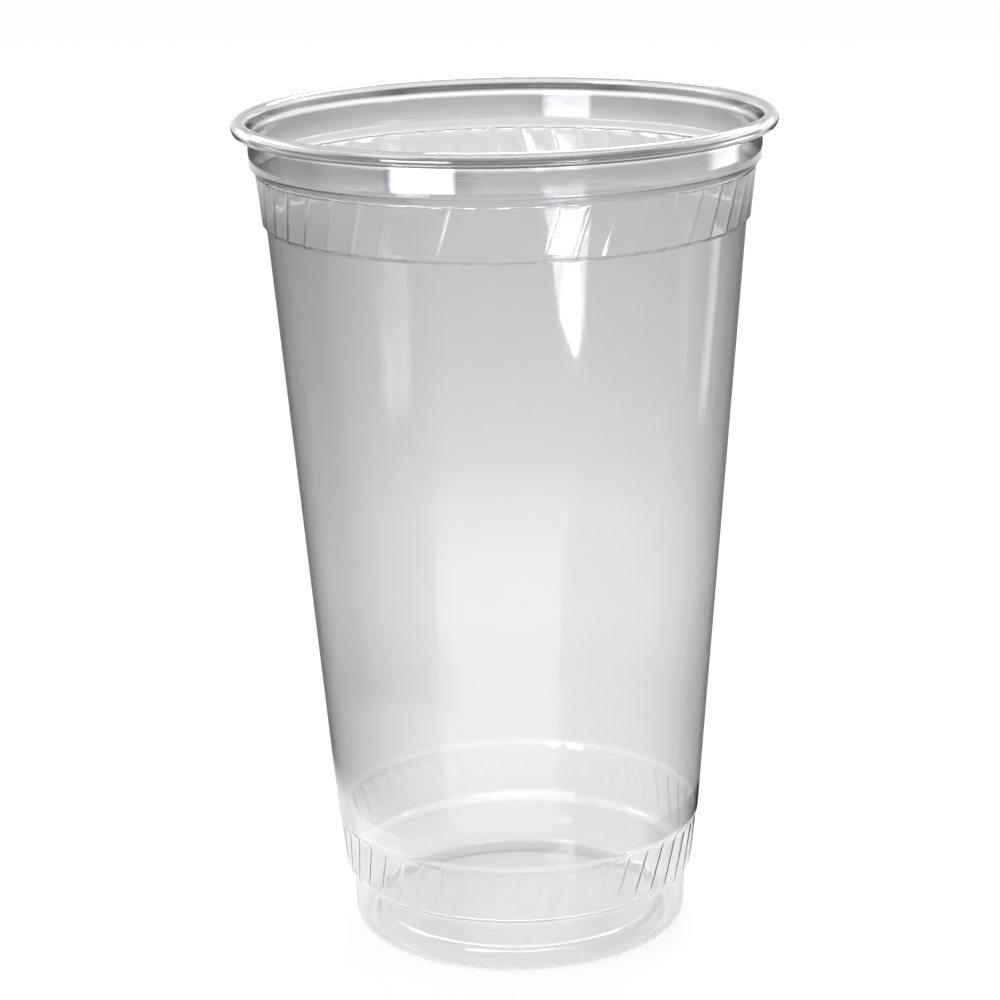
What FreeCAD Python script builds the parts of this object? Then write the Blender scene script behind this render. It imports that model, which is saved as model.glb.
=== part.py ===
import FreeCAD
import Part

import math
import os

# Cold-drink cup formed from one sheet of clear plastic.  From the table up: a foot on a narrow
# ring, a low band of slanting flutes, a plain tapered side, a second fluted band, a shoulder, a
# plain collar and a rolled rim.  Millimetres, +Z up, origin at the centre of the foot's ring.

# Whole cup
cup_height = 153.5
rim_diameter = 98.0
wall = 0.4

# Rolled rim: the sheet curls outward and down into a hollow bead
curl_radius = 1.45
curl_sweep = 270.0
curl_flats_outside = 6
curl_flats_inside = 4

# Plain collar, and the shoulder that steps in below it
collar_depth = 8.2
collar_draft = 3.0
shoulder_step = 1.1
shoulder_drop = 1.4

# Flutes: shallow hollows side by side that meet in ridges, leaning as they climb
flute_count = 48
flute_depth = 0.4
flute_lean = 17.0
flute_flats = 3

# Upper fluted band; the ridge angle is that of one ridge at the band's top, about the axis
upper_band_height = 10.5
upper_band_draft = 6.3
upper_band_step = 0.62
upper_band_bevel = 1.1
upper_ridge_angle = -109.1

# Lower fluted band, between the foot and the side
lower_band_height = 10.9
lower_band_draft = 5.9
lower_band_ledge = 1.05
lower_band_rounding = 2.4
lower_ridge_angle = -91.2
side_overhang = 0.26

# Foot, and the flat ring that it stands on round a raised floor
foot_diameter = 62.4
foot_height = 10.1
foot_draft = 2.6
foot_rounding = 2.4
ring_width = 3.9
floor_rise = 2.85
floor_wall_lean = 15.0

# Short flats that make up a rounding, on the outside of the sheet and on its inside
rounding_flats_outside = 2
rounding_flats_inside = 1
# How far one shaped form reaches into the next so that the two join
reach = 2.0
# How far a band's rounded outline stands outside its ridges
ridge_relief = 0.05

axis_foot = FreeCAD.Vector(0, 0, 0)
axis_up = FreeCAD.Vector(0, 0, 1)


def spread(draft, height):
    """Sideways travel of a wall that leans by draft degrees, over a height."""
    return height * math.tan(math.radians(draft))


# Worked out from the rim down
level_wall = wall / math.cos(math.radians(collar_draft))
curl_centre_height = cup_height - curl_radius
curl_centre_radius = rim_diameter / 2 - curl_radius
collar_top_radius = curl_centre_radius - curl_radius + level_wall
collar_bottom = cup_height - collar_depth
collar_bottom_radius = collar_top_radius - spread(collar_draft, curl_centre_height - collar_bottom)
upper_band_top = collar_bottom - shoulder_drop
upper_band_top_radius = collar_bottom_radius - shoulder_step
upper_band_bottom = upper_band_top - upper_band_height
upper_band_bottom_radius = upper_band_top_radius - spread(upper_band_draft, upper_band_height)
side_top_radius = upper_band_bottom_radius - upper_band_step

# Worked out from the foot up
foot_radius = foot_diameter / 2
foot_top_radius = foot_radius + spread(foot_draft, foot_height)
lower_band_bottom_radius = foot_top_radius + lower_band_ledge
lower_band_top = foot_height + lower_band_height
lower_band_top_radius = lower_band_bottom_radius + spread(lower_band_draft, lower_band_height)
side_bottom_radius = lower_band_top_radius + side_overhang
side_taper = (side_top_radius - side_bottom_radius) / (upper_band_bottom - lower_band_top)
ring_inner_radius = foot_radius - ring_width
floor_radius = ring_inner_radius - spread(floor_wall_lean, floor_rise)


def point(radius, height, degrees=0.0):
    angle = math.radians(degrees)
    return FreeCAD.Vector(radius * math.cos(angle), radius * math.sin(angle), height)


def along(start, end):
    return (end - start).normalize()


def towards_axis(start, end):
    """Unit vector square to start-end in the half section, on the side of the cup's axis."""
    way = along(start, end)
    return FreeCAD.Vector(-way.z, 0, way.x)


def moved_inward(corners, inset):
    """Corners of a half section with each side between them moved inward by inset."""
    sides = [towards_axis(start, end) for start, end in zip(corners, corners[1:])]
    moved = []
    for here, before, after in zip(corners, sides[:1] + sides, sides + sides[-1:]):
        moved.append(here + (before + after) * (inset / (1 + before.dot(after))))
    return moved


def rounded(before, here, after, radius, flats):
    """Points of the short flats that round the corner at here."""
    way_in = along(before, here)
    way_out = along(here, after)
    turn = way_in.getAngle(way_out)
    start = here - way_in * (radius * math.tan(turn / 2))
    centre = here + along(way_in, way_out) * (radius / math.cos(turn / 2))
    points = []
    for index in range(flats + 1):
        angle = turn * index / flats
        points.append(centre + (start - centre) * math.cos(angle) + way_in * (radius * math.sin(angle)))
    return points


def turned(corners, inset):
    """Solid of revolution within a half section of (radius, height, rounding) corners.

    The section starts on the axis, and each of its sides is moved inward by inset.
    """
    spots = moved_inward([point(radius, height) for radius, height, rounding in corners], inset)
    flats = rounding_flats_inside if inset else rounding_flats_outside
    outline = [spots[0]]
    for index in range(1, len(spots) - 1):
        radius = corners[index][2] - inset
        if radius > 0:
            outline.extend(rounded(*spots[index - 1:index + 2], radius, flats))
        else:
            outline.append(spots[index])
    outline.append(spots[-1])
    outline.append(point(0, spots[-1].z))
    outline.append(spots[0])
    return Part.Face(Part.makePolygon(outline)).revolve(axis_foot, axis_up, 360)


def flute_points(ridge_radius, height, ridge_angle):
    """Corners of the flutes all round at one height."""
    pitch = 360 / flute_count
    points = []
    for index in range(flute_count * flute_flats):
        flute, flat = divmod(index, flute_flats)
        across = flat / flute_flats
        depth = flute_depth * (1 - (2 * across - 1) ** 2)
        points.append(point(ridge_radius - depth, height, ridge_angle + (flute + across) * pitch))
    return points + points[:1]


def fluted_column(bottom, bottom_radius, top, top_radius, ridge_angle):
    """Solid with leaning flutes that reaches past bottom and top.

    The radii are those of the ridges, and one ridge passes ridge_angle at the top.
    """
    lean = (top_radius - bottom_radius) / (top - bottom)
    climb = math.degrees(spread(flute_lean, 1) / (bottom_radius / 2 + top_radius / 2))
    low, high = bottom - reach, top + reach
    ring_low = flute_points(bottom_radius - lean * reach, low, ridge_angle - climb * (top - low))
    ring_high = flute_points(top_radius + lean * reach, high, ridge_angle + climb * reach)
    faces = [Part.Face(Part.makePolygon(ring_low)), Part.Face(Part.makePolygon(ring_high))]
    for index in range(len(ring_low) - 1):
        below = Part.makeLine(ring_low[index], ring_low[index + 1])
        above = Part.makeLine(ring_high[index], ring_high[index + 1])
        faces.append(Part.makeRuledSurface(below, above))
    shell = Part.Shell(faces)
    shell.sewShape()
    return Part.Solid(shell)


def upper_band(inset):
    """Fluted band with a bevelled lower edge, reaching up behind the shoulder."""
    column = fluted_column(
        upper_band_bottom, upper_band_bottom_radius - inset,
        upper_band_top, upper_band_top_radius - inset,
        upper_ridge_angle,
    )
    edge_radius = upper_band_bottom_radius + ridge_relief
    top = upper_band_top + reach / 2
    outline = turned([
        (0, upper_band_bottom, 0),
        (edge_radius - upper_band_bevel, upper_band_bottom, 0),
        (edge_radius + spread(upper_band_draft, upper_band_bevel), upper_band_bottom + upper_band_bevel, 0),
        (edge_radius + spread(upper_band_draft, top - upper_band_bottom), top, 0),
    ], inset)
    return column.common(outline)


def lower_band(inset):
    """Fluted band with a rounded lower edge, reaching up into the side."""
    column = fluted_column(
        foot_height, lower_band_bottom_radius - inset,
        lower_band_top, lower_band_top_radius - inset,
        lower_ridge_angle,
    )
    edge_radius = lower_band_bottom_radius + ridge_relief
    top = lower_band_top + reach / 2
    outline = turned([
        (0, foot_height, 0),
        (edge_radius, foot_height, lower_band_rounding),
        (edge_radius + spread(lower_band_draft, top - foot_height), top, 0),
    ], inset)
    return column.common(outline)


def plain_cup(top, top_radius, inset):
    """The cup without its flutes: underside, foot, side, shoulder and collar."""
    slope = shoulder_step / shoulder_drop
    side_radius = side_top_radius + side_taper * upper_band_height
    hidden = (upper_band_top_radius - side_radius) / (slope - side_taper)
    return turned([
        (0, floor_rise, 0),
        (floor_radius, floor_rise, 0),
        (ring_inner_radius, 0, 0),
        (foot_radius, 0, foot_rounding),
        (foot_radius + spread(foot_draft, lower_band_top), lower_band_top, 0),
        (side_bottom_radius, lower_band_top, 0),
        (upper_band_top_radius - slope * hidden, upper_band_top - hidden, 0),
        (collar_bottom_radius, collar_bottom, 0),
        (top_radius, top, 0),
    ], inset)


def cup_form(top, top_radius, inset):
    """The whole cup as a filled form, with every surface moved inward by inset."""
    return plain_cup(top, top_radius, inset).fuse([lower_band(inset), upper_band(inset)])


def rolled_rim():
    """The curl that starts on the collar, goes over the top and down, and turns back under."""
    centre = point(curl_centre_radius, curl_centre_height)

    def curl(radius, flats):
        angles = [math.radians(180 - curl_sweep * index / flats) for index in range(flats + 1)]
        return [centre + FreeCAD.Vector(radius * math.cos(a), 0, radius * math.sin(a)) for a in angles]

    outside = curl(curl_radius, curl_flats_outside)
    inside = curl(curl_radius - level_wall, curl_flats_inside)
    section = Part.makePolygon(outside + inside[::-1] + outside[:1])
    return Part.Face(section).revolve(axis_foot, axis_up, 360)


def cup():
    outside = cup_form(curl_centre_height, collar_top_radius, 0)
    mouth_top = cup_height + reach
    mouth_radius = collar_top_radius + spread(collar_draft, mouth_top - curl_centre_height)
    inside = cup_form(mouth_top, mouth_radius, wall)
    return outside.cut(inside).fuse(rolled_rim()).removeSplitter()


os.makedirs("parts", exist_ok=True)
shape = cup()
print("cup", shape.isValid(), len(shape.Solids), "solid", round(shape.Volume), "mm3")
shape.exportStep("parts/cup.step")
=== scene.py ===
import math

import bmesh
import bpy
from mathutils import Matrix, Vector


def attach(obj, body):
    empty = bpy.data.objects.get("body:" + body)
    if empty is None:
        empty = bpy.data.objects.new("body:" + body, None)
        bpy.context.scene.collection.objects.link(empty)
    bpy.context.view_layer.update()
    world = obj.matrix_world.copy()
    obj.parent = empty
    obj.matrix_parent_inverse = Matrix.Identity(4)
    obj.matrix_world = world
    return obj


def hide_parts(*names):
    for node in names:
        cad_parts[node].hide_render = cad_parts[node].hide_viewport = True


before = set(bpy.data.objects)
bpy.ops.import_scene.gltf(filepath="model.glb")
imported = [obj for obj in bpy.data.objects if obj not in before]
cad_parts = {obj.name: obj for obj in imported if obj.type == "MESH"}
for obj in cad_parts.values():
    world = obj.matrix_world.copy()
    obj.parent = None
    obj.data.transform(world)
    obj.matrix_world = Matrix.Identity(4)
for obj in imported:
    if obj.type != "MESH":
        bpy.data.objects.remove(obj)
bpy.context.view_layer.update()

# The cup is one thin sheet of clear plastic, heated and drawn into a mould: floor, foot, two
# fluted bands, side, shoulder and collar are the same sheet, and its edge is curled outward over
# a hot screw into the rolled rim.  Sizes are in millimetres.
mm = 0.001
sheet = 0.4
# steps round the axis, eight of them to a flute
columns = 384
weld_distance = 1e-4

# half section of the outside: radius, height, rounding, rows up to the next corner
floor_edge = [(0.0, 2.85, 0.0, 2), (26.53, 2.85, 1.2, 1), (27.3, 0.0, 0.5, 1)]
foot = [(31.2, 0.0, 2.4, 3), (31.67, 10.2, 0.5, 1)]
lower_band = [(32.8, 10.95, 2.4, 9), (33.8, 20.3, 4.0, 2)]
side = [(34.15, 21.7, 4.0, 12), (43.3, 133.82, 0.3, 1)]
upper_band = [(44.0, 134.46, 0.7, 9), (45.0, 143.4, 0.0, 1), (45.02, 143.8, 0.25, 1)]
shoulder = [(44.84, 144.06, 0.15, 2), (46.1, 145.3, 0.7, 2)]
collar = [(46.16, 149.8, 0.4, 1), (46.19, 150.3, 0.4, 1), (46.17, 150.8, 0.4, 3),
          (46.526, 152.317, 0.0, 0)]
corners = floor_edge + foot + lower_band + side + upper_band + shoulder + collar
# steps of the roundings: of those with a radius over large_rounding, and of the smaller ones
large_rounding = 1.0
large_rounding_steps = 5
small_rounding_steps = 3

# the curl, which starts at the half section's last corner
curl_centre = (47.54, 152.045)
curl_radius = 1.05
curl_sweep = 216.0
curl_steps = 16

# flutes: hollows between ridges, leaning as they climb, from one height to another; those of the
# lower band fade in from a height and out towards a height, over the length beside it
flutes = 48
upper_flutes = (133.7, 145.0)
upper_flute_depth = 0.22
lower_flutes = (10.3, 21.6)
lower_flute_depth = 0.24
lower_flutes_fade = ((11.0, 2.5), (21.6, 1.6))
flatness_of_hollows = 4
ridge_crowding = 0.06
# how far the flutes have climbed round the cup: height, angle in degrees
flute_turns = [(10.1, -6.94), (21.0, -1.2), (133.4, -0.74), (143.9, 3.4)]

# lines of the plain cup, which the hollows never cut below: radius, its height, slope
plain_foot = (31.2, 0.0, math.tan(math.radians(2.6)))
plain_side = (34.1, 21.0, 0.0816)
plain_shoulder = (46.15, 145.3, 1.1 / 1.4)


def drawn_section(bm):
    """Half section of the sheet's outside as a wire, its corners rounded and its curl turned."""
    spots = []
    before = None
    for (radius, height, _, rows), following in zip(corners, corners[1:] + corners[-1:]):
        for row in range(max(rows, 1)):
            part = row / max(rows, 1)
            spot = bm.verts.new(((radius + (following[0] - radius) * part) * mm, 0.0,
                                 (height + (following[1] - height) * part) * mm))
            if before:
                bm.edges.new((before, spot))
            before = spot
            if row == 0:
                spots.append(spot)
    for spot, (_, _, rounding, _) in zip(spots, corners):
        if not rounding:
            continue
        ways = [(edge.other_vert(spot).co - spot.co).normalized() for edge in spot.link_edges]
        turn = math.pi - ways[0].angle(ways[1])
        steps = large_rounding_steps if rounding > large_rounding else small_rounding_steps
        bmesh.ops.bevel(bm, geom=[spot], affect="VERTICES",
                        offset=rounding * mm * math.tan(turn / 2),
                        segments=steps, profile=0.5, material=-1)
    end = max(bm.verts, key=lambda spot: spot.co.z)
    bmesh.ops.spin(bm, geom=[end], cent=(curl_centre[0] * mm, 0.0, curl_centre[1] * mm),
                   axis=(0.0, 1.0, 0.0), angle=math.radians(curl_sweep), steps=curl_steps)


def plain_radius(height):
    """Radius of the cup without its flutes."""
    foot_line, side_line, shoulder_line = [
        radius + (height - start) * slope
        for radius, start, slope in (plain_foot, plain_side, plain_shoulder)
    ]
    return foot_line if height < plain_side[1] else max(side_line, shoulder_line)


def hollow_at(across, height):
    """Depth of a flute's hollow at a share of its width and a height."""
    shape = 1.0 - abs(2.0 * across - 1.0) ** flatness_of_hollows
    if upper_flutes[0] < height < upper_flutes[1]:
        return upper_flute_depth * shape
    if lower_flutes[0] < height < lower_flutes[1]:
        (low, fade_in), (high, fade_out) = lower_flutes_fade
        fade = min(1.0, (high - height) / fade_out, max(0.0, height - low) / fade_in)
        return lower_flute_depth * shape * fade
    return 0.0


def turned_by(height):
    """Angle by which the flutes have climbed round the cup at a height, in degrees."""
    if height <= flute_turns[0][0]:
        return flute_turns[0][1]
    for (low, angle_low), (high, angle_high) in zip(flute_turns, flute_turns[1:]):
        if height <= high:
            return angle_low + (angle_high - angle_low) * (height - low) / (high - low)
    return flute_turns[-1][1]


cup_mesh = bmesh.new()
drawn_section(cup_mesh)
bmesh.ops.spin(cup_mesh, geom=cup_mesh.verts[:] + cup_mesh.edges[:], cent=(0.0, 0.0, 0.0),
               axis=(0.0, 0.0, 1.0), angle=math.tau, steps=columns, use_merge=True)
bmesh.ops.remove_doubles(cup_mesh, verts=cup_mesh.verts, dist=weld_distance * mm)
pitch = math.tau / flutes
# height along the sheet: over the top of the curl it goes on rising where the sheet goes down
rise = cup_mesh.verts.layers.float.new("rise")
top_of_curl = curl_centre[1] + curl_radius
for spot in cup_mesh.verts:
    radius, height = spot.co.xy.length / mm, spot.co.z / mm
    spot[rise] = 2.0 * top_of_curl - height if radius > curl_centre[0] else height
    across = (math.atan2(spot.co.y, spot.co.x) / pitch) % 1.0
    drawn_in = -ridge_crowding * math.sin(math.tau * across)
    hollow = hollow_at(across + drawn_in, height)
    if hollow:
        fluted = max(radius - hollow, plain_radius(height))
        spot.co.xy *= min(fluted / radius, 1.0)
    turn = math.radians(turned_by(height)) + drawn_in * pitch
    spot.co = Matrix.Rotation(turn, 3, "Z") @ spot.co
bmesh.ops.recalc_face_normals(cup_mesh, faces=cup_mesh.faces)
bmesh.ops.reverse_faces(cup_mesh, faces=cup_mesh.faces)
for face in cup_mesh.faces:
    face.smooth = True
cup_data = bpy.data.meshes.new("drawn_cup")
cup_mesh.to_mesh(cup_data)
cup_mesh.free()
cup = bpy.data.objects.new("drawn_cup", cup_data)
bpy.context.scene.collection.objects.link(cup)
wall = cup.modifiers.new("sheet", "SOLIDIFY")
wall.thickness = sheet * mm
wall.offset = -1.0
wall.use_even_offset = True

refractive_index = 1.575
plastic = bpy.data.materials.new("clear_sheet")
plastic.use_nodes = True
nodes, links = plastic.node_tree.nodes, plastic.node_tree.links
shader = nodes["Principled BSDF"]
shader.inputs["Transmission Weight"].default_value = 1.0
shader.inputs["IOR"].default_value = refractive_index
climb = nodes.new("ShaderNodeAttribute")
climb.attribute_name = "rise"
where = nodes.new("ShaderNodeTexCoord")

# grey of the sheet over the rise, in millimetres, as the share of the light that gets through: a
# faint smoky tint with painted shade, which darkens it towards the top and over the collar, and
# painted highlights in the pale rings at the ledges and at the neck
body_tint_and_painted_light = [
    (0.0, 0.885), (9.8, 0.885), (10.1, 1.0), (10.6, 1.0), (10.9, 0.9), (20.9, 0.9),
    (21.2, 0.99), (21.7, 0.99), (22.1, 0.865), (38.0, 0.815), (60.0, 0.865), (70.0, 0.868),
    (80.0, 0.82), (90.0, 0.79), (100.0, 0.755), (117.0, 0.715), (133.0, 0.683), (143.5, 0.68),
    (143.8, 0.85), (144.15, 0.85), (144.4, 0.68), (145.5, 0.64), (147.0, 0.5), (148.5, 0.41),
    (150.15, 0.39), (150.4, 1.0),
]
body_range = (0.0, 151.0)
warm_to_cold = 0.008
middle_height = 75.0
# on the neck and the curl: painted shade in dark bands, darkest just under the start of the curl,
# and painted highlights in pale bands between them
rim_tint_and_painted_light = [
    (150.7, 1.0), (150.95, 0.5), (151.2, 0.16), (152.1, 0.13), (152.35, 0.7), (152.6, 0.93),
    (152.85, 0.88), (152.95, 0.5), (153.09, 0.5), (153.25, 0.9), (153.6, 0.94), (154.0, 0.94),
    (154.3, 0.75), (154.7, 0.6), (155.1, 0.6),
]
rim_range = (150.0, 155.2)
# painted shade: darker where the sheet is seen at a slant, which draws dark lines along the cup's
# edges; at the foot a share of that is left, which grows to the whole between the two rises
painted_edge_shade_grey = 0.68
painted_edge_shade_sharpness = 1.15
clear_foot = (13.0, 30.0, 0.15)
# draw marks: fine ripples stretched along the side, which end before the rim
mark_size, mark_detail, mark_stretch = 160.0, 3.0, 0.12
mark_depth, mark_strength = 0.1 * mm, 0.1
smooth_rim = (147.0, 149.5)
# haze: patches where the surface is a little rougher
haze_size, haze_detail = 45.0, 5.0
haze_span = (0.35, 0.75)
haze_roughness = (0.02, 0.09)


def ranged(value, start, end, first=0.0, last=1.0):
    """Output that goes from first to last while the value goes from start to end."""
    node = nodes.new("ShaderNodeMapRange")
    node.inputs["From Min"].default_value = start
    node.inputs["From Max"].default_value = end
    node.inputs["To Min"].default_value = first
    node.inputs["To Max"].default_value = last
    links.new(value, node.inputs["Value"])
    return node.outputs["Result"]


def greys_along_the_sheet(greys, bottom, top, shift):
    """Colours over the rise along the sheet, from warm to cold by shift."""
    tint = nodes.new("ShaderNodeValToRGB")
    links.new(ranged(climb.outputs["Fac"], bottom, top), tint.inputs["Fac"])
    stops = tint.color_ramp.elements
    while len(stops) < len(greys):
        stops.new(0.5)
    for stop, (height, grey) in zip(stops, greys):
        stop.position = (height - bottom) / (top - bottom)
        cold = shift * (height - middle_height) / middle_height
        stop.color = (grey - cold, grey, grey + cold, 1.0)
    return tint.outputs["Color"]


def multiplied(first, second=None):
    """Mix node that multiplies two colours, the second one a socket or left to be set."""
    node = nodes.new("ShaderNodeMix")
    node.data_type = "RGBA"
    node.blend_type = "MULTIPLY"
    node.inputs["Factor"].default_value = 1.0
    links.new(first, node.inputs["A"])
    if second:
        links.new(second, node.inputs["B"])
    return node


def noise(size, detail, place):
    """Even noise over a place in the sheet, the finer the larger its size number."""
    node = nodes.new("ShaderNodeTexNoise")
    node.inputs["Scale"].default_value = size
    node.inputs["Detail"].default_value = detail
    links.new(place, node.inputs["Vector"])
    return node.outputs["Fac"]


# the grey with its painted shade and highlights along the sheet, then more painted shade where the
# sheet is seen at a slant
tint_with_painted_light = multiplied(greys_along_the_sheet(body_tint_and_painted_light, *body_range, warm_to_cold),
                        greys_along_the_sheet(rim_tint_and_painted_light, *rim_range, 0.0))
slant = nodes.new("ShaderNodeLayerWeight")
slant.inputs["Blend"].default_value = 0.5
steep = nodes.new("ShaderNodeMath")
steep.operation = "POWER"
steep.inputs[1].default_value = painted_edge_shade_sharpness
links.new(slant.outputs["Facing"], steep.inputs[0])
darker = nodes.new("ShaderNodeMath")
darker.operation = "MULTIPLY"
links.new(steep.outputs[0], darker.inputs[0])
foot_start, foot_end, foot_share = clear_foot
links.new(ranged(climb.outputs["Fac"], foot_start, foot_end, foot_share), darker.inputs[1])
with_painted_edge_shade = multiplied(tint_with_painted_light.outputs["Result"])
with_painted_edge_shade.inputs["B"].default_value = (painted_edge_shade_grey, painted_edge_shade_grey, painted_edge_shade_grey, 1.0)
links.new(darker.outputs[0], with_painted_edge_shade.inputs["Factor"])
links.new(with_painted_edge_shade.outputs["Result"], shader.inputs["Base Color"])

haze = noise(haze_size, haze_detail, where.outputs["Object"])
links.new(ranged(haze, *haze_span, *haze_roughness), shader.inputs["Roughness"])

stretched = nodes.new("ShaderNodeMapping")
stretched.inputs["Scale"].default_value = (1.0, 1.0, mark_stretch)
links.new(where.outputs["Object"], stretched.inputs["Vector"])
ripple = nodes.new("ShaderNodeBump")
ripple.inputs["Distance"].default_value = mark_depth
links.new(ranged(climb.outputs["Fac"], *smooth_rim, mark_strength, 0.0), ripple.inputs["Strength"])
links.new(noise(mark_size, mark_detail, stretched.outputs["Vector"]), ripple.inputs["Height"])
links.new(ripple.outputs["Normal"], shader.inputs["Normal"])
cup.data.materials.append(plastic)
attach(cup, "root")
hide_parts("cup")

# The table top: a smooth board painted a pale matte white, much wider than the view, which keeps
# the cup's soft shadow.
table_radius = 6.0
table_white = 0.92
table_roughness = 0.9
table_brightness = 0.85

table_mesh = bmesh.new()
bmesh.ops.create_circle(table_mesh, cap_ends=True, segments=96, radius=table_radius)
table_data = bpy.data.meshes.new("table_top")
table_mesh.to_mesh(table_data)
table_mesh.free()
table = bpy.data.objects.new("table_top", table_data)
bpy.context.scene.collection.objects.link(table)
pale_board = bpy.data.materials.new("pale_board")
pale_board.use_nodes = True
nodes, links = pale_board.node_tree.nodes, pale_board.node_tree.links
matte = nodes["Principled BSDF"]
matte.inputs["Base Color"].default_value = (table_white, table_white, table_white, 1.0)
matte.inputs["Roughness"].default_value = table_roughness
matte.inputs["Specular IOR Level"].default_value = 0.0
bright = nodes.new("ShaderNodeEmission")
ray = nodes.new("ShaderNodeLightPath")
seen = ray.outputs["Is Camera Ray"]
for kind in ("Is Glossy Ray", "Is Transmission Ray"):
    either = nodes.new("ShaderNodeMath")
    either.operation = "MAXIMUM"
    links.new(seen, either.inputs[0])
    links.new(ray.outputs[kind], either.inputs[1])
    seen = either.outputs[0]
share = nodes.new("ShaderNodeMath")
share.operation = "MULTIPLY"
share.inputs[1].default_value = table_brightness
links.new(seen, share.inputs[0])
blend = nodes.new("ShaderNodeMixShader")
links.new(share.outputs[0], blend.inputs["Fac"])
links.new(matte.outputs["BSDF"], blend.inputs[1])
links.new(bright.outputs["Emission"], blend.inputs[2])
links.new(blend.outputs["Shader"], nodes["Material Output"].inputs["Surface"])
table.data.materials.append(pale_board)

# The studio's panels: boards bent round the cup, which show only in its reflections.  The pale
# ones are its windows and lit cards, the dark ones draw the thin lines along its edges.
panel_steps = 16


def panel(name, distance, rows, strength, passes, fade=(1, 1), beyond=0.0):
    """Upright panel at a distance from the axis, in rows from the bottom up.

    A row is (height, left, right, share).  Left and right are bearings in degrees from the
    front, to the right positive, and share is how much of the panel is there.  Light paths see
    it after a reflection and after a number of passages through the plastic within passes.  Its
    left and right sides fade out over the two numbers of its panel_steps.  Only reflections from
    farther away than beyond, in millimetres, see it.
    """
    mesh = bmesh.new()
    share = mesh.verts.layers.float.new("share")
    lines = []
    for height, left, right, full in rows:
        line = []
        for step in range(panel_steps + 1):
            bearing = math.radians(left + (right - left) * step / panel_steps)
            spot = mesh.verts.new((distance * mm * math.sin(bearing),
                                   -distance * mm * math.cos(bearing), height * mm))
            spot[share] = full * min(1.0, step / fade[0], (panel_steps - step) / fade[1])
            line.append(spot)
        lines.append(line)
    for below, above in zip(lines, lines[1:]):
        for step in range(panel_steps):
            mesh.faces.new((below[step], below[step + 1], above[step + 1], above[step]))
    data = bpy.data.meshes.new(name)
    mesh.to_mesh(data)
    mesh.free()
    bent_board = bpy.data.objects.new(name, data)
    bpy.context.scene.collection.objects.link(bent_board)
    glow = bpy.data.materials.new(name)
    glow.use_nodes = True
    nodes, links = glow.node_tree.nodes, glow.node_tree.links
    nodes.remove(nodes["Principled BSDF"])
    ray = nodes.new("ShaderNodeLightPath")

    def tested(output, operation, bound, times):
        """The light path's output compared with a bound, times what was seen before."""
        test = nodes.new("ShaderNodeMath")
        test.operation = operation
        test.inputs[1].default_value = bound
        links.new(ray.outputs[output], test.inputs[0])
        product = nodes.new("ShaderNodeMath")
        product.operation = "MULTIPLY"
        links.new(test.outputs[0], product.inputs[0])
        links.new(times, product.inputs[1])
        return product.outputs[0]

    shares = nodes.new("ShaderNodeAttribute")
    shares.attribute_name = "share"
    seen = tested("Glossy Depth", "GREATER_THAN", 0.5, shares.outputs["Fac"])
    seen = tested("Transmission Depth", "GREATER_THAN", passes[0] - 0.5, seen)
    seen = tested("Transmission Depth", "LESS_THAN", passes[1] + 0.5, seen)
    if beyond:
        seen = tested("Ray Length", "GREATER_THAN", beyond * mm, seen)
    clear = nodes.new("ShaderNodeBsdfTransparent")
    light = nodes.new("ShaderNodeEmission")
    light.inputs["Strength"].default_value = strength
    blend = nodes.new("ShaderNodeMixShader")
    links.new(seen, blend.inputs["Fac"])
    links.new(clear.outputs[0], blend.inputs[1])
    links.new(light.outputs[0], blend.inputs[2])
    links.new(blend.outputs[0], nodes["Material Output"].inputs["Surface"])
    glow.cycles.emission_sampling = "NONE"
    data.materials.append(glow)
    bent_board.visible_camera = False
    bent_board.visible_diffuse = False
    bent_board.visible_shadow = False


# windows: the long streak and its fellow, the white patch on the collar, the soft one low down
tall_window = [(83.8, -42, -40, 1), (91.2, -44.4, -32.3, 1), (102.0, -45.4, -27.7, 1),
               (113.0, -46.2, -25.4, 1), (127.0, -44.1, -21.6, 1), (150.0, -44.0, -21.0, 1)]
near_window = [(55, 28.5, 30, 1), (61, 24, 31, 1), (68, 19, 31.7, 1), (74, 17, 32.2, 1),
               (86, 17, 32.2, 1)]
collar_window = [(100, -47, -19, 1), (165, -47, -19, 1)]
soft_window = [(38, -63, -45, 0), (48, -63, -44, 1), (62, -60, -42, 1), (74, -57, -39, 0)]
panel("tall_window", 200, tall_window, 60.0, passes=(1, 9))
panel("near_window", 200, near_window, 12.0, passes=(0, 2))
panel("collar_window", 200, collar_window, 10.0, passes=(0, 2))
panel("soft_window", 200, soft_window, 2.3, passes=(0, 2), fade=(4, 4))

# lit cards: one before the lower front, two before the collar, small ones for single glints
front_card = [(1, -38, 21, 0.7), (30, -38, 21, 0.75), (58, -36, 22, 1), (82, -34, 26, 0)]
collar_card = [(100, -19, 110, 1), (131, -19, 110, 1)]
collar_card_left = [(100, -87, -47, 1), (131, -87, -47, 1)]
low_card = [(0, -100, -55, 1), (8, -100, -55, 1)]
right_strip = [(88, 77, 86, 0), (98, 77, 86, 1), (128, 77, 86, 1)]
right_patch = [(142.5, 62, 84, 1), (147, 62, 84, 1)]
neck_card = [(203, -60, 60, 1), (235, -60, 60, 1)]
panel("front_card", 80, front_card, 1.9, passes=(0, 2), fade=(1, 1))
panel("collar_card", 200, collar_card, 2.6, passes=(0, 2), fade=(1, 4))
panel("collar_card_left", 200, collar_card_left, 2.2, passes=(0, 2), fade=(6, 1))
panel("left_low", 61, low_card, 1.6, passes=(0, 2), fade=(3, 3))
panel("right_strip", 61, right_strip, 1.6, passes=(0, 2), fade=(5, 5))
panel("right_patch", 61, right_patch, 6.0, passes=(0, 2), fade=(4, 4))
panel("neck_card", 200, neck_card, 3.0, passes=(0, 0), fade=(2, 2))

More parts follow.
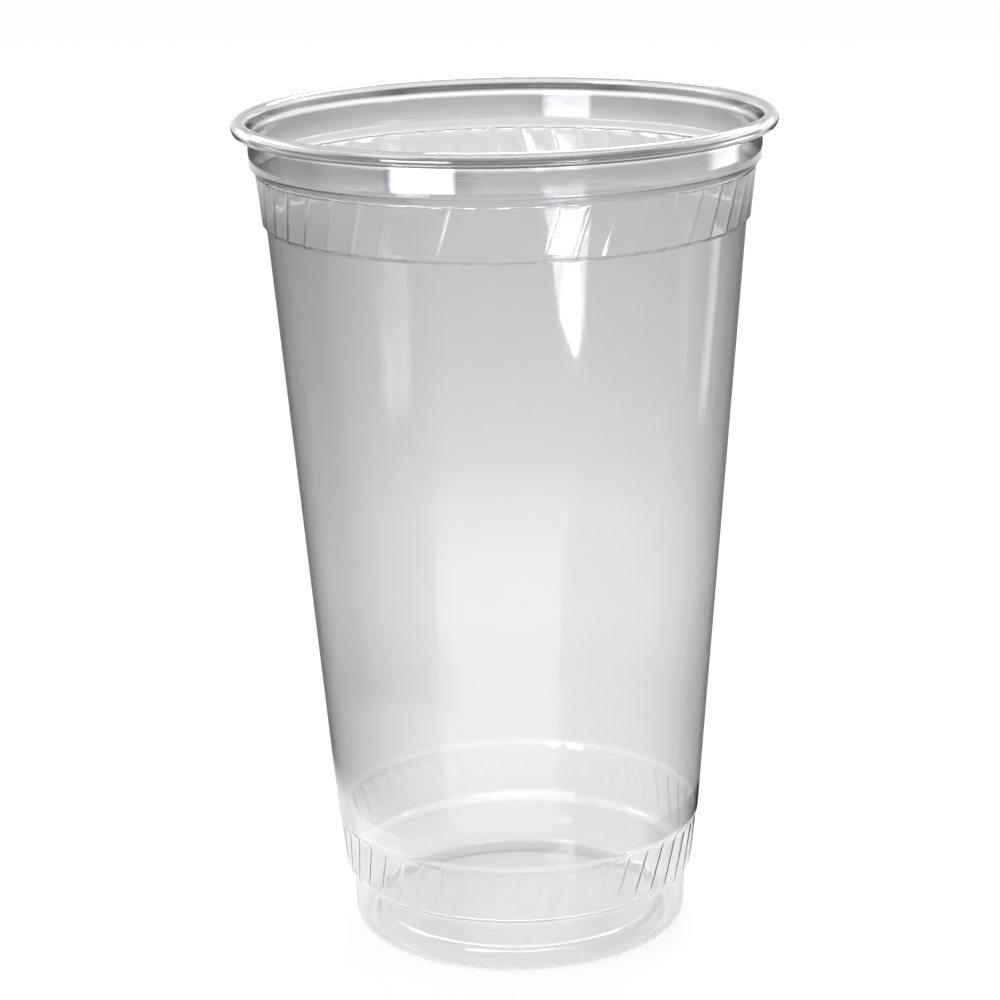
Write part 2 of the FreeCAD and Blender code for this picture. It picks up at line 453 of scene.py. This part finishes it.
# high cards on all sides, for the top of the rim and the bright arcs at the foot
panel("high_left", 200, [(165, -145, -55, 1), (300, -145, -55, 1)], 4.0, passes=(0, 3), fade=(4, 4))
panel("high_right", 200, [(165, 55, 145, 1), (300, 55, 145, 1)], 4.0, passes=(0, 3), fade=(4, 4))
panel("rear_card", 200, [(180, 110, 250, 1), (265, 110, 250, 1)], 10.0, passes=(4, 7), fade=(2, 2))
panel("ceiling_card", 200, [(180, -55, 50, 1), (480, -55, 50, 1)], 8.0, passes=(3, 7), fade=(2, 2))

# dark boards, which the slanting edges of the cup show as thin dark lines
dark_left = [(8, -177, -35, 0), (16, -177, -35, 1), (128, -177, -35, 1), (140, -177, -35, 0)]
dark_left_back = [(0, 40, 150, 1), (150, 40, 150, 1)]
dark_right = [(8, 60, 177, 1), (128, 60, 177, 1), (140, 60, 177, 0)]
dark_right_low = [(0, 60, 177, 1), (8, 60, 177, 1)]
dark_collar_left = [(141, -177, -72, 1), (149, -177, -72, 1)]
dark_collar_right = [(141, 86, 177, 1), (149, 86, 177, 1)]
dark_front = [(0, -75, 85, 1), (150, -75, 85, 1)]
panel("dark_left", 62, dark_left, 0.25, passes=(0, 3), fade=(1, 4))
panel("dark_left_back", 130, dark_left_back, 0.05, passes=(4, 9), fade=(3, 3))
panel("dark_right", 62, dark_right, 0.28, passes=(0, 3), fade=(5, 1))
panel("dark_right_low", 62, dark_right_low, 0.05, passes=(0, 3), fade=(2, 1))
panel("dark_collar_left", 62, dark_collar_left, 0.15, passes=(0, 3), fade=(1, 3))
panel("dark_collar_right", 62, dark_collar_right, 0.15, passes=(0, 3), fade=(2, 1))
panel("dark_front", 60.5, dark_front, 0.25, passes=(0, 3), fade=(1, 1), beyond=40.0)

# Two softboxes light the table: square lamps behind fabric, one behind the cup to the right and
# one before it to the left, both turned to the middle of the cup.  Metres and watts.
lamp_size = 0.5
lamp_target = Vector((0.0, 0.0, 0.08))
softboxes = [("softbox_behind", (0.15, 0.65, 0.75), 7.0),
             ("softbox_left", (-0.75, -0.45, 0.8), 5.0)]
for name, place, power in softboxes:
    lamp_data = bpy.data.lights.new(name, "AREA")
    lamp_data.shape = "SQUARE"
    lamp_data.size = lamp_size
    lamp_data.energy = power
    lamp = bpy.data.objects.new(name, lamp_data)
    bpy.context.scene.collection.objects.link(lamp)
    lamp.location = place
    lamp.rotation_euler = (lamp_target - lamp.location).to_track_quat("-Z", "Y").to_euler()
    lamp.visible_camera = False
    lamp.visible_transmission = False

# The room: plain white all round.
world = bpy.data.worlds.new("studio")
bpy.context.scene.world = world
world.use_nodes = True
background = world.node_tree.nodes["Background"]
background.inputs["Color"].default_value = (1.0, 1.0, 1.0, 1.0)
background.inputs["Strength"].default_value = 1.0
bpy.context.scene.view_settings.view_transform = "Standard"

# The camera: a long lens that looks a little down at the middle of the cup, and is turned a
# little about its own axis.
sensor_width = 36.0
lens_to_sensor = 3.03372
view_height = math.radians(15.447)
view_roll = math.radians(-1.232)
view_distance = 562.7 * mm
aim = Vector((-2.273, 0.0, 81.25)) * mm
camera_data = bpy.data.cameras.new("camera")
camera_data.sensor_width = sensor_width
camera_data.lens = sensor_width * lens_to_sensor
camera_data.clip_start = 0.01
camera = bpy.data.objects.new("camera", camera_data)
bpy.context.scene.collection.objects.link(camera)
bpy.context.scene.camera = camera
towards_camera = Vector((0.0, -math.cos(view_height), math.sin(view_height)))
camera.matrix_world = (Matrix.Translation(aim + towards_camera * view_distance)
                       @ Matrix.Rotation(math.pi / 2 - view_height, 4, "X")
                       @ Matrix.Rotation(view_roll, 4, "Z"))
